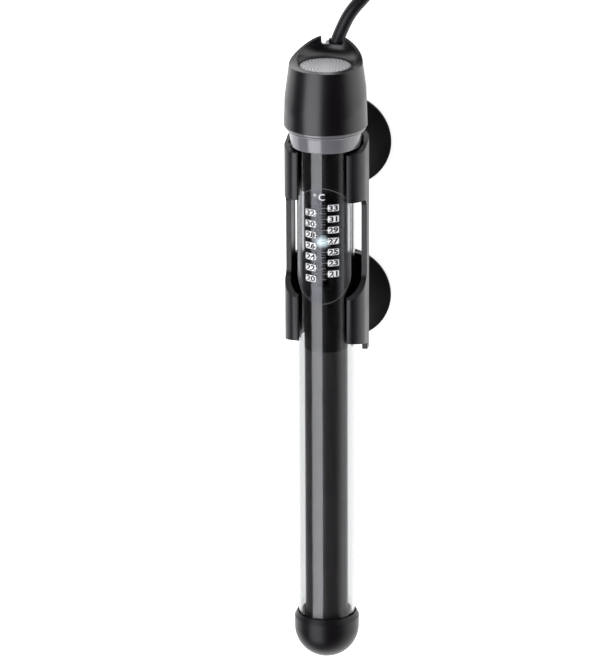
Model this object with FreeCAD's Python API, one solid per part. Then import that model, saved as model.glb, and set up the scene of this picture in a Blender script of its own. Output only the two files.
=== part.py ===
"""Submersible aquarium heater, lying on its two suction cups.

The heater is drawn standing: z runs up its tube with z = 0 at the head's lower edge, the scale
faces -y and the suction cups face +y. laid() then lays it on its cups: the head points to +Y,
the scale looks up along +Z and the cup rims stand on z = 0. The cord is drawn where it lies.
Millimetres throughout.
"""
import FreeCAD, Part
import math
import os

V = FreeCAD.Vector
UP = V(0, 0, 1)
BACK = V(0, 1, 0)

# ---- glass tube
TUBE_R = 13.5            # 27 mm glass
TUBE_WALL = 1.3
TUBE_TOP = 8.0           # the open end stands this far up inside the head
ROUND_END_Z = -251.7     # centre of the hemispherical end
FIT = 0.15               # radial gap of a part pushed on another part of the same body
RUN = 0.06               # radial gap of a running shaft or pin
GAP = 0.3                # plain gap between neighbours
TUBE_BORE = TUBE_R - TUBE_WALL
TUBE_TURN = 3.2          # degrees; the tube is mounted a little turned in the head

# ---- head
HEAD_R = TUBE_R + 5.95
HEAD_DRAFT = 0.034       # radius lost per mm of height
HEAD_LAND = 28.4         # height of the flat land round the dial
HEAD_TOP = 37.4          # height of the horns of the raised back
HEAD_WALL = 2.4
TAPER_R = HEAD_R + 1.53  # radius that the upper taper would have at z = 0
TAPER_SLOPE = 0.133
TAPER_BACK = 1.0         # the taper's axis lies this far behind the tube axis
CREST_START = 6.0        # how far in front of the axis the back starts to rise
CREST_R = 31.0
BOWL_RISE = 8.4          # concave bowl between the dial and the raised back
BOWL_WIDTH = 3.8
NOTCH_WIDTH = 10.4
NOTCH_FLOOR = 33.6
NOTCH_CORNER = 1.2
CORD_BACK = 20.4         # how far behind the tube axis the cord leaves
CORD_SIDE = 1.15
DUCT_WALL = 1.5
ROOF = 2.6               # thickness under the dial recess
HUB_R = 5.0
HUB_DROP = 8.2           # how far the hub reaches below the roof

# ---- dial
DIAL_R = 11.9
DIAL_GAP = 0.5
DIAL_DEPTH = 3.6         # depth of the recess
DIAL_FACE = 0.8          # thickness of the metal insert
DIAL_RIM = 0.9           # plastic rim round the insert
SHAFT_R = 2.5
SEAL_SECTION = 1.0       # radius of the O-ring's section

# ---- collar
LIP_ONE_R, LIP_ONE_H = HEAD_R - 0.45, 1.2
LIP_TWO_R, LIP_TWO_H = HEAD_R - 1.45, 1.2
BAND_TOP_R, BAND_END_R = TUBE_R + 3.4, TUBE_R + 2.8
COLLAR_DROP = 9.7        # how far the band reaches below the head
SPIGOT_H = 11.0
TUBE_SEAL_WALL = 1.2

# ---- scale and pointer
SCALE_TOP, SCALE_END = -27.1, -83.9
SCALE_HALF = 12.6        # half width, seen from the front, and radius of both ends
FILM = 0.12
COLDEST, WARMEST, SET_AT = 20.0, 33.0, 27.0     # degC
SCALE_SPAN = 34.9        # mm between the coldest and the warmest mark
DIAL_SPAN = 300.0        # degrees between the same marks
WARMEST_Z = -36.7
SET_Z = WARMEST_Z - SCALE_SPAN * (WARMEST - SET_AT) / (WARMEST - COLDEST)
LEAD = SCALE_SPAN * 360.0 / DIAL_SPAN           # travel for one turn of the drum
DRUM_R = 4.5
DRUM_MARGIN = 3.5        # drum beyond each end of the groove
GROOVE_W, GROOVE_D = 1.9, 1.1
PIN_R = 0.75
CARRIAGE_H = 8.0
CARRIAGE_FRONT = 8.2      # its front face, measured forwards from the axis
ROD_R, ROD_X, ROD_FRONT = 0.6, 5.0, 5.6
LED_R, LED_BASE = 1.6, 1.0

# ---- thermostat housing and its circuit
HOUSING_R, HOUSING_WALL = TUBE_BORE - 2.0, 1.0
HOUSING_TOP, HOUSING_END = -6.0, -108.9
SLOT_HALF = 2.6
SLOT_TOP, SLOT_END = WARMEST_Z + 4.6, WARMEST_Z - SCALE_SPAN - 4.6
BOARD_HALF, BOARD_T, BOARD_FRONT = 5.2, 1.2, -6.2
BOARD_TOP, BOARD_END = -12.0, -105.3
WIRE_R = 0.9
LEAD_WIRE_R = 0.6

# ---- heating core
CORE_R, CORE_WALL = HOUSING_R - 0.1, 0.8
CORE_TOP, CORE_END = HOUSING_END, -250.1
DISC_T = 1.5
FORMER_R, FORMER_TOP, FORMER_END = CORE_R - CORE_WALL - 0.7, -118.3, -240.6
COIL_R, COIL_HOLE_R, COIL_PITCH_R = 1.5, 1.7, 5.0
COIL_TOP = -113.8
FUSE_R, FUSE_L = 1.5, 9.5

# ---- holder
HOLDER_HALF = TUBE_R + 5.7
HOLDER_WALL = 2.5
HOLDER_GRIP = 0.4        # gap between the glass and the lips and back plate
HOLDER_BACK = TUBE_R + HOLDER_GRIP + HOLDER_WALL
HOLDER_END = -104.4      # lower edge at the front of the lips
END_SLOPE = 0.25         # and how steeply it falls towards the back
HOLDER_SKIRT = 6.1       # the rear of the lower clip reaches this much lower
SKIRT_FRONT = 2.5
TOP_CUT_Z, TOP_CUT_SLOPE = -9.7, 0.305          # slanted top edge: height at 3 mm behind the axis
UPPER_CLIP_END = -35.0
WINDOW_CORNER = 5.0
LOWER_CLIP_SIDE, LOWER_CLIP_LIP = -71.0, -82.6
BACK_WINDOW_TOP, BACK_WINDOW_END = -37.0, -66.8
RAIL_FRONT = -1.0        # front edge of the rails, measured forwards from the axis
RAIL_BACK = -8.5
CUP_Z = (-21.3, -97.75)
BOSS_R, BOSS_REACH = 8.0, 7.6

# ---- suction cups
AXIS_HEIGHT = 45.0       # tube axis above the plane of the cup rims
CUP_R, CUP_RIM_T, CUP_HOLLOW = 22.5, 1.1, 3.6
CUP_LAND = 1.2
NECK_R, KNOB_R, KNOB_T = 4.2, 5.6, 2.6

# ---- foot
FOOT_GAP, FOOT_WALL = 0.25, 1.7
FOOT_R = TUBE_R + FOOT_GAP + FOOT_WALL
FOOT_TOP, FOOT_CHAMFER = -243.9, 2.5

# ---- where the standing heater goes when it is laid down
FOOT_TIP = ROUND_END_Z - FOOT_R
HEAD_Y = (HEAD_TOP - FOOT_TIP) / 2 - HEAD_TOP

# ---- cord, mm in the lying frame
CORD_R = 3.1
CORD_LOW = CORD_R        # height of its centre on the floor
GLAND_R, GLAND_L = 3.6, 12.0
EXIT = V(CORD_SIDE, HEAD_Y + NOTCH_FLOOR, AXIS_HEIGHT - CORD_BACK)
FOLD_R = 18.6            # end loops of the hank
HANK_RUN = 101.0
HANK_LAYERS = 4
HANK_NEAR = 310.0        # y where the right-hand run of the hank starts
WAIST_HALF = 3.3         # half the distance between the two bundles at the tie
BEND_R = 35.0            # bends from the end loops into the waist
HANK_H = 2 * CORD_R * HANK_LAYERS
TIE_T, TIE_W = 1.4, 9.0
TIE_GAP = 0.3
LEAD_POINTS = [
    EXIT,
    V(4.5, 157.3, 24.6),
    V(8.6, 164.4, 23.0),
    V(14.6, 170.8, 19.7),
    V(20.0, 179.6, 14.0),
    V(23.0, 190.6, 7.7),
    V(23.9, 204.0, 3.7),
    V(23.4, 218.0, CORD_LOW),
    V(22.4, 235.0, CORD_LOW),
    V(21.6, 254.0, CORD_LOW),
    V(20.2, 273.0, CORD_LOW),
    V(18.7, 292.0, CORD_LOW),
    V(FOLD_R, HANK_NEAR, CORD_LOW),
]
PLUG_X, PLUG_END_Y = -4.8, 176.0                # tips of the pins
PIN_LENGTH, PLUG_PIN_R, PIN_SPACING = 19.0, 2.0, 18.6
PLUG_L, PLUG_W, PLUG_T = 36.0, 35.3, 13.7
RELIEF_L, RELIEF_R = 20.0, 4.6
PLUG_ENTRY_Y = PLUG_END_Y + PIN_LENGTH + PLUG_L + RELIEF_L
TAIL_POINTS = [
    V(-FOLD_R, HANK_NEAR, HANK_H - CORD_R),
    V(-18.1, 299.0, 21.2),
    V(-14.6, 287.5, 17.4),
    V(-8.6, 276.0, 10.6),
    V(PLUG_X, 262.0, PLUG_T / 2),
    V(PLUG_X, PLUG_ENTRY_Y, PLUG_T / 2),
]


def laid(shape):
    """The standing shape laid on its cups: tube axis along Y at AXIS_HEIGHT, scale up."""
    out = shape.copy()
    out.rotate(V(0, 0, 0), V(1, 0, 0), -90)
    out.translate(V(0, HEAD_Y, AXIS_HEIGHT))
    return out


def with_tube(shape):
    """The shape turned with the tube in the head."""
    out = shape.copy()
    out.rotate(V(0, 0, 0), UP, TUBE_TURN)
    return out


def save(name, shape, standing=True, in_tube=False):
    shape = with_tube(shape) if in_tube else shape
    shape = laid(shape) if standing else shape
    shape.exportStep("parts/" + name + ".step")
    print("%-24s %8.0f mm3  solids %d  %s" % (
        name, shape.Volume, len(shape.Solids), "ok" if shape.isValid() else "INVALID"))


def rod(r, z0, z1, x=0.0, y=0.0):
    """Upright cylinder between two heights."""
    return Part.makeCylinder(r, z1 - z0, V(x, y, z0), UP)


def ring(r_out, r_in, z0, z1):
    return rod(r_out, z0, z1).cut(rod(r_in, z0 - 1, z1 + 1))


def block(x0, x1, y0, y1, z0, z1):
    return Part.makeBox(x1 - x0, y1 - y0, z1 - z0, V(x0, y0, z0))


def face_of(points):
    """Flat face inside a closed outline; an item of three points is an arc."""
    edges = []
    at = points[0]
    for item in points[1:]:
        if isinstance(item, tuple):
            edges.append(Part.Arc(at, item[0], item[1]).toShape())
            at = item[1]
        else:
            edges.append(Part.LineSegment(at, item).toShape())
            at = item
    return Part.Face(Part.Wire(edges))


def turned(points):
    """Solid of revolution about z from an outline in the x-z plane."""
    return face_of(points).revolve(V(0, 0, 0), UP, 360)


def extruded(points, along):
    return face_of(points).extrude(along)


# ---------------------------------------------------------------- head
def bowl_point(turn):
    """Point of the elliptic bowl wall; turn is 0 at the dial's edge and 90 at the rim."""
    a = math.radians(turn)
    start = DIAL_R + DIAL_GAP
    return V(start + BOWL_WIDTH * math.sin(a), 0, HEAD_LAND + BOWL_RISE * (1 - math.cos(a)))


def head_shell():
    lower = Part.makeCone(HEAD_R, HEAD_R - HEAD_DRAFT * HEAD_TOP, HEAD_TOP)
    upper = Part.makeCone(TAPER_R, TAPER_R - TAPER_SLOPE * HEAD_TOP, HEAD_TOP,
                          V(0, TAPER_BACK, 0), UP)
    body = lower.common(upper)
    floor = HEAD_LAND - DIAL_DEPTH
    roof = floor - ROOF
    cavity_r = HEAD_R - HEAD_WALL
    body = body.cut(Part.makeCone(cavity_r, cavity_r - 1.6, roof + 1, V(0, 0, -1)))
    # the cord duct stands behind the head; inside, it starts above the collar's spigot
    bore_r = GLAND_R + FIT
    duct = rod(bore_r + DUCT_WALL, 1.0, NOTCH_FLOOR, CORD_SIDE, CORD_BACK)
    body = body.fuse(duct.cut(rod(cavity_r, 0, SPIGOT_H + 0.5)))
    # everything above the land and in front of the rising back is cut away
    reach = HEAD_R + 1
    crest = V(0, -CREST_START, HEAD_LAND + CREST_R)
    rise = CREST_START + HEAD_R * 0.92
    end = V(0, -CREST_START + rise, crest.z - math.sqrt(CREST_R ** 2 - rise ** 2))
    middle = math.asin(rise / CREST_R) / 2
    halfway = V(0, -CREST_START + CREST_R * math.sin(middle), crest.z - CREST_R * math.cos(middle))
    air = [V(0, -reach, HEAD_LAND), V(0, -CREST_START, HEAD_LAND), (halfway, end),
           V(0, reach, end.z), V(0, reach, HEAD_TOP + 9), V(0, -reach, HEAD_TOP + 9),
           V(0, -reach, HEAD_LAND)]
    cutter = extruded(air, V(2 * reach, 0, 0))
    cutter.translate(V(-reach, 0, 0))
    body = body.cut(cutter)
    # bowl behind the dial, then the dial's recess
    rim = bowl_point(90)
    bowl = turned([V(0, 0, HEAD_LAND), V(DIAL_R + DIAL_GAP, 0, HEAD_LAND),
                   (bowl_point(42), bowl_point(68)), (bowl_point(80), rim),
                   V(rim.x, 0, HEAD_TOP + 6), V(0, 0, HEAD_TOP + 6), V(0, 0, HEAD_LAND)])
    body = body.cut(bowl)
    body = body.cut(rod(DIAL_R + DIAL_GAP, floor, HEAD_LAND + 1))
    # notch for the cord, open to the back, with rounded lower corners
    half = NOTCH_WIDTH / 2
    k = NOTCH_CORNER
    s = k * (1 - math.sqrt(0.5))
    notch = extruded([
        V(-half, 8, HEAD_TOP + 5), V(-half, 8, NOTCH_FLOOR + k),
        (V(-half + s, 8, NOTCH_FLOOR + s), V(-half + k, 8, NOTCH_FLOOR)),
        V(half - k, 8, NOTCH_FLOOR),
        (V(half - s, 8, NOTCH_FLOOR + s), V(half, 8, NOTCH_FLOOR + k)),
        V(half, 8, HEAD_TOP + 5), V(-half, 8, HEAD_TOP + 5)], V(0, CORD_BACK + 8, 0))
    body = body.cut(notch)
    # inside: hub for the shaft, bore of the cord duct and the window into it
    body = body.fuse(rod(HUB_R, roof - HUB_DROP, roof + 0.5))
    body = body.cut(rod(SHAFT_R + RUN, roof - HUB_DROP - 1, floor + 1))
    body = body.cut(rod(SHAFT_R + GAP + 2 * SEAL_SECTION, roof - HUB_DROP - 1,
                        roof - HUB_DROP + 2 * SEAL_SECTION + GAP))
    gland_z = NOTCH_FLOOR - GLAND_L
    body = body.cut(rod(bore_r, SPIGOT_H + 1.5, NOTCH_FLOOR + 1, CORD_SIDE, CORD_BACK))
    body = body.cut(block(CORD_SIDE - 4.4, CORD_SIDE + 4.4, cavity_r - 5, CORD_BACK,
                          SPIGOT_H + 1.5, gland_z - 0.5))
    return body.removeSplitter()


def cord_gland():
    """Plug round the cord; its top is square to the way in which the cord leaves."""
    way = LEAD_POINTS[1] - EXIT
    above = Part.makeCylinder(3 * GLAND_R, 3 * GLAND_R, V(CORD_SIDE, CORD_BACK, NOTCH_FLOOR),
                              V(way.x, -way.z, way.y))
    body = rod(GLAND_R, NOTCH_FLOOR - GLAND_L, NOTCH_FLOOR + GLAND_R, CORD_SIDE, CORD_BACK)
    return body.cut(above)


def collar_ring():
    """Grey ring: spigot in the head, two thin lips, then the band round the glass."""
    low_lip = -FIT - LIP_ONE_H
    band = low_lip - LIP_TWO_H
    bore = TUBE_R + FIT
    spigot_r = HEAD_R - HEAD_WALL - 0.9
    seat = bore + TUBE_SEAL_WALL + FIT
    return turned([
        V(bore, 0, -COLLAR_DROP), V(BAND_END_R, 0, -COLLAR_DROP), V(BAND_TOP_R, 0, band),
        V(LIP_TWO_R, 0, band), V(LIP_TWO_R, 0, low_lip), V(LIP_ONE_R, 0, low_lip),
        V(LIP_ONE_R, 0, -FIT), V(spigot_r, 0, -FIT), V(spigot_r, 0, SPIGOT_H),
        V(seat, 0, SPIGOT_H), V(seat, 0, -FIT), V(bore, 0, -FIT), V(bore, 0, -COLLAR_DROP)])


def tube_seal():
    return ring(TUBE_R + FIT + TUBE_SEAL_WALL, TUBE_R + FIT, GAP, TUBE_TOP - 1)


def glass_tube():
    end = ROUND_END_Z
    c = math.sqrt(0.5)
    return turned([
        V(0, 0, end - TUBE_R), (V(TUBE_R * c, 0, end - TUBE_R * c), V(TUBE_R, 0, end)),
        V(TUBE_R, 0, TUBE_TOP), V(TUBE_BORE, 0, TUBE_TOP), V(TUBE_BORE, 0, end),
        (V(TUBE_BORE * c, 0, end - TUBE_BORE * c), V(0, 0, end - TUBE_BORE)),
        V(0, 0, end - TUBE_R)])


def scale_label():
    """Clear film on the front of the glass; seen from the front it is a slot shape."""
    r = TUBE_R + 0.02
    film = ring(r + FILM, r, SCALE_END, SCALE_TOP)
    top, end, w = SCALE_TOP - SCALE_HALF, SCALE_END + SCALE_HALF, SCALE_HALF
    outline = extruded([
        V(-w, 0, end), (V(0, 0, SCALE_END), V(w, 0, end)), V(w, 0, top),
        (V(0, 0, SCALE_TOP), V(-w, 0, top)), V(-w, 0, end)], V(0, -TUBE_R - 2, 0))
    return film.common(outline)


def seal_plug():
    """Silicone stopper in the mouth of the tube, bored for the shaft and two wires."""
    body = rod(TUBE_BORE - FIT, HOUSING_TOP, TUBE_TOP).fuse(rod(TUBE_R, TUBE_TOP, TUBE_TOP + 2))
    body = body.cut(rod(SHAFT_R + RUN, HOUSING_TOP - 1, TUBE_TOP + 3))
    for side in (-1, 1):
        body = body.cut(rod(WIRE_R + FIT, HOUSING_TOP - 1, TUBE_TOP + 3, side * WIRE_X, WIRE_Y))
    return body


# ---------------------------------------------------------------- dial, drum and pointer
DIAL_FLOOR = HEAD_LAND - DIAL_DEPTH + GAP
DIAL_TOP = HEAD_LAND - 0.3
DRUM_TOP = WARMEST_Z + DRUM_MARGIN
DRUM_END = WARMEST_Z - SCALE_SPAN - DRUM_MARGIN
POT_TOP, POT_END = DRUM_END - 2.5, DRUM_END - 10.5
JOURNAL_R = 1.5
BRIDGE_Z = -27.0


def dial_knob():
    body = rod(DIAL_R, DIAL_FLOOR, DIAL_TOP)
    return body.cut(rod(DIAL_R - DIAL_RIM + 0.05, DIAL_TOP - DIAL_FACE, DIAL_TOP + 1))


def dial_face():
    return rod(DIAL_R - DIAL_RIM, DIAL_TOP - DIAL_FACE, DIAL_TOP)


def dial_shaft():
    return rod(SHAFT_R, DRUM_TOP, DIAL_FLOOR)


def cam_drum():
    """Drum with a helical groove: one dial span moves the pin over the whole scale."""
    body = rod(DRUM_R, DRUM_END, DRUM_TOP).fuse(rod(JOURNAL_R, POT_END + 1, DRUM_END))
    over = 14.0                       # degrees of groove beyond each end of the scale
    turn = DIAL_SPAN + 2 * over
    height = LEAD * turn / 360.0
    helix = Part.makeHelix(LEAD, height, DRUM_R)
    # turning the dial by the right hand about -z raises the pin, so the groove is right-handed
    at_pin = -90.0 - (SET_Z - (WARMEST_Z - SCALE_SPAN)) / LEAD * 360.0 - over
    helix.rotate(V(0, 0, 0), UP, at_pin)
    helix.translate(V(0, 0, WARMEST_Z - SCALE_SPAN - LEAD * over / 360.0))
    start = helix.Vertexes[0].Point
    radial = V(start.x, start.y, 0).normalize()
    inner, outer = radial * (DRUM_R - GROOVE_D), radial * (DRUM_R + 0.6)
    # the groove climbs steeply, so it is taller than it is wide
    half = V(0, 0, GROOVE_W / 2 * math.hypot(1, LEAD / (2 * math.pi * DRUM_R)))
    z = V(0, 0, start.z)
    corners = [inner + z - half, outer + z - half, outer + z + half, inner + z + half]
    profile = Part.Wire(Part.makePolygon(corners + corners[:1]))
    sweep = Part.Wire(helix).makePipeShell([profile], True, True)
    return body.cut(sweep)


def shaft_seal():
    z = HEAD_LAND - DIAL_DEPTH - ROOF - HUB_DROP + SEAL_SECTION + 0.1
    return Part.makeTorus(SHAFT_R + RUN + 0.04 + SEAL_SECTION, SEAL_SECTION, V(0, 0, z))


def pointer_carriage():
    """Block on two rods that carries the light and, behind it, the follower pin."""
    z0, z1 = SET_Z - CARRIAGE_H / 2, SET_Z + CARRIAGE_H / 2
    body = block(-3.7, 3.7, -CARRIAGE_FRONT, -5.0, z0, z1)
    ear = ROD_X + 1.1
    body = body.fuse(block(-ear, ear, -ROD_FRONT - 0.9, -ROD_FRONT + 0.9, z0, z1))
    for side in (-1, 1):
        body = body.cut(rod(ROD_R + RUN, z0 - 1, z1 + 1, side * ROD_X, -ROD_FRONT))
    tip = DRUM_R - GROOVE_D + 0.35
    pin = Part.makeCylinder(PIN_R, 5.2 - tip, V(0, -5.2, SET_Z), BACK)
    return body.fuse(pin)


def pointer_led():
    """Light with a domed lens that stands in the housing's slot."""
    base = Part.makeCylinder(LED_R, LED_BASE, V(0, -CARRIAGE_FRONT, SET_Z), -BACK)
    lens = -CARRIAGE_FRONT - LED_BASE
    dome = Part.makeSphere(LED_R, V(0, lens, SET_Z))
    front = block(-3, 3, lens - 3, lens, SET_Z - 3, SET_Z + 3)
    return base.fuse(dome.common(front))


def guide_rod(side):
    return rod(ROD_R, POT_END + 4, BRIDGE_Z + 2.0, side * ROD_X, -ROD_FRONT)


def setting_potentiometer():
    body = block(-5.8, 5.8, -ROD_FRONT - 1.2, -BOARD_FRONT, POT_END, POT_TOP)
    body = body.cut(rod(JOURNAL_R + RUN, POT_END - 1, POT_TOP + 1))
    for side in (-1, 1):
        body = body.cut(rod(ROD_R, POT_END + 4, POT_TOP + 1, side * ROD_X, -ROD_FRONT))
    return body


def rod_bridge():
    """Small plate that holds the upper ends of the guide rods."""
    body = rod(HOUSING_R - HOUSING_WALL - FIT, BRIDGE_Z, BRIDGE_Z + 2.0)
    body = body.common(block(-10, 10, -10, -BOARD_FRONT, BRIDGE_Z - 1, BRIDGE_Z + 3))
    body = body.cut(rod(SHAFT_R + GAP, BRIDGE_Z - 1, BRIDGE_Z + 3))
    for side in (-1, 1):
        body = body.cut(rod(ROD_R, BRIDGE_Z - 1, BRIDGE_Z + 3, side * ROD_X, -ROD_FRONT))
    return body


# ---------------------------------------------------------------- thermostat
WIRE_X, WIRE_Y = 3.6, 7.4
LEAD_X = COIL_PITCH_R * math.sqrt(0.5)


def thermostat_housing():
    body = ring(HOUSING_R, HOUSING_R - HOUSING_WALL, HOUSING_END, HOUSING_TOP)
    body = body.fuse(rod(HOUSING_R - 0.2, HOUSING_END, HOUSING_END + HOUSING_WALL))
    body = body.cut(block(-SLOT_HALF, SLOT_HALF, -HOUSING_R - 1, -HOUSING_R + 3,
                          SLOT_END, SLOT_TOP))
    for side in (-1, 1):
        body = body.cut(rod(LEAD_WIRE_R + FIT, HOUSING_END - 1, HOUSING_END + 2,
                            side * LEAD_X, LEAD_X))
    return body


def circuit_board():
    back = -BOARD_FRONT
    return block(-BOARD_HALF, BOARD_HALF, back, back + BOARD_T, BOARD_END, BOARD_TOP)


def on_board(x0, x1, depth, z0, z1):
    """Box standing on the board's front face."""
    back = -BOARD_FRONT
    return block(x0, x1, back - depth, back, z0, z1)


def thermistor():
    z = HOUSING_END + 5
    bead = Part.makeSphere(1.1, V(0, -7.4, z))
    stem = Part.makeCylinder(0.4, 7.0 - BOARD_FRONT, V(0, -7.0, z), BACK)
    return bead.fuse(stem)


def bent_wire(points, r_bend, r):
    """Round wire through the points, with tangent arcs of one radius at the corners."""
    edges = []
    at = points[0]
    for i in range(1, len(points) - 1):
        a = (points[i - 1] - points[i]).normalize()
        b = (points[i + 1] - points[i]).normalize()
        half = a.getAngle(b) / 2
        cut = r_bend / math.tan(half)
        start, stop = points[i] + a * cut, points[i] + b * cut
        centre = points[i] + (a + b).normalize() * (r_bend / math.sin(half))
        middle = centre + (points[i] - centre).normalize() * r_bend
        edges += [Part.LineSegment(at, start).toShape(), Part.Arc(start, middle, stop).toShape()]
        at = stop
    edges.append(Part.LineSegment(at, points[-1]).toShape())
    path = Part.Wire(edges)
    section = Part.Wire(Part.makeCircle(r, points[0], (points[1] - points[0]).normalize()))
    return path.makePipeShell([section], True, False)


def mains_wire(side):
    """From the gland over the mouth of the tube and down to the top of the board."""
    x = CORD_SIDE + side * 1.3
    over = NOTCH_FLOOR - GLAND_L - 3.4
    a = math.radians(TUBE_TURN)
    low_x = side * WIRE_X * math.cos(a) - WIRE_Y * math.sin(a)
    low_y = side * WIRE_X * math.sin(a) + WIRE_Y * math.cos(a)
    return bent_wire([V(x, CORD_BACK, NOTCH_FLOOR - GLAND_L), V(x, CORD_BACK, over),
                      V(low_x, low_y, over), V(low_x, low_y, BOARD_TOP)], 1.8, WIRE_R)


def heater_lead(side):
    """From the board through the housing's floor to one end of the heating coil."""
    z = BOARD_END + 2.5
    return bent_wire([V(side * LEAD_X, -BOARD_FRONT, z), V(side * LEAD_X, LEAD_X, z),
                      V(side * LEAD_X, LEAD_X, COIL_TOP)], 0.9, LEAD_WIRE_R)


# ---------------------------------------------------------------- heating core
COIL_PLACES = [(-1, 1), (-1, -1), (1, -1), (1, 1)]      # signs of x and y, in coil order


def core_sleeve():
    return ring(CORE_R, CORE_R - CORE_WALL, CORE_END, CORE_TOP)


def core_disc(z0):
    return rod(CORE_R - CORE_WALL - FIT, z0, z0 + DISC_T)


def core_top_disc():
    body = core_disc(CORE_TOP - 2.5)
    for side in (-1, 1):
        body = body.cut(rod(LEAD_WIRE_R + FIT, CORE_TOP - 4, CORE_TOP, side * LEAD_X, LEAD_X))
    return body


def ceramic_former():
    body = rod(FORMER_R, FORMER_END, FORMER_TOP)
    for sx, sy in COIL_PLACES:
        body = body.cut(rod(COIL_HOLE_R, FORMER_END - 1, FORMER_TOP + 1,
                            sx * LEAD_X, sy * LEAD_X))
    return body.cut(rod(FUSE_R + GAP, FORMER_END - 1, FORMER_TOP + 1))


def heating_coil():
    """Outer envelope of the wound wire: four runs joined by three half loops."""
    edges = []
    for i, (sx, sy) in enumerate(COIL_PLACES):
        x, y = sx * LEAD_X, sy * LEAD_X
        top = COIL_TOP if i in (0, 3) else FORMER_TOP
        ends = [V(x, y, top), V(x, y, FORMER_END)]
        if i % 2:
            ends.reverse()
        edges.append(Part.LineSegment(*ends).toShape())
        if i < 3:
            nx, ny = (c * LEAD_X for c in COIL_PLACES[i + 1])
            z = ends[1].z
            bulge = LEAD_X if i % 2 else -LEAD_X
            edges.append(Part.Arc(ends[1], V((x + nx) / 2, (y + ny) / 2, z + bulge),
                                  V(nx, ny, z)).toShape())
    path = Part.Wire(edges)
    start = V(-LEAD_X, LEAD_X, COIL_TOP)
    return path.makePipeShell([Part.Wire(Part.makeCircle(COIL_R, start, UP))], True, False)


def end_cushion():
    r = 8.0
    touch = ROUND_END_Z - math.sqrt(TUBE_BORE ** 2 - r ** 2)
    return rod(r, touch + GAP, CORE_END)


# ---------------------------------------------------------------- holder and cups
def holder_outline():
    """Half of the C section, x >= 0, as (outer, inner) lists from the back to the lip.

    Written in x and y, y growing to the back."""
    w, h, back = HOLDER_WALL, HOLDER_HALF, HOLDER_BACK
    grip = TUBE_R + HOLDER_GRIP
    lip = math.radians(54.0)
    tip = V(grip * math.sin(lip), -grip * math.cos(lip), 0)
    flat, corner, lip_x = h - 10.4, h - 3.1, h - 5.4
    outer = [V(flat, back, 0), (V(corner, back - 3.2, 0), V(h, 5.5, 0)), V(h, -0.5, 0),
             (V(h - 1.7, -6.3, 0), V(lip_x, -9.2, 0)), V(tip.x + 0.5, tip.y - 0.95, 0)]
    inner = [V(lip_x - 0.8, -7.2, 0), (V(h - w - 1.6, -4.9, 0), V(h - w, -0.5, 0)),
             V(h - w, 5.5, 0),
             (V(corner - w * 0.8, back - 3.2 - w * 0.6, 0), V(flat, back - w, 0))]
    return tip, outer, inner


def mirrored(item):
    if isinstance(item, tuple):
        return tuple(V(-p.x, p.y, p.z) for p in item)
    return V(-item.x, item.y, item.z)


def holder_section():
    """Closed C section in the x-y plane."""
    tip, outer, inner = holder_outline()
    half = [outer[0]] + outer[1:] + [tip] + inner
    # the mirrored half runs back from the middle to the other lip and returns outside
    left_in = []
    for item, start in zip(reversed(inner), reversed([tip] + [i[-1] if isinstance(i, tuple)
                                                              else i for i in inner[:-1]])):
        left_in.append((item[0], start) if isinstance(item, tuple) else start)
    left_out = []
    starts = [i[-1] if isinstance(i, tuple) else i for i in outer[:-1]]
    for item, start in zip(reversed(outer[1:]), reversed(starts)):
        left_out.append((item[0], start) if isinstance(item, tuple) else start)
    points = half + [mirrored(inner[-1][1])] + [mirrored(i) for i in left_in]
    points += [mirrored(outer[-1])] + [mirrored(i) for i in left_out] + [outer[0]]
    return points


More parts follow.
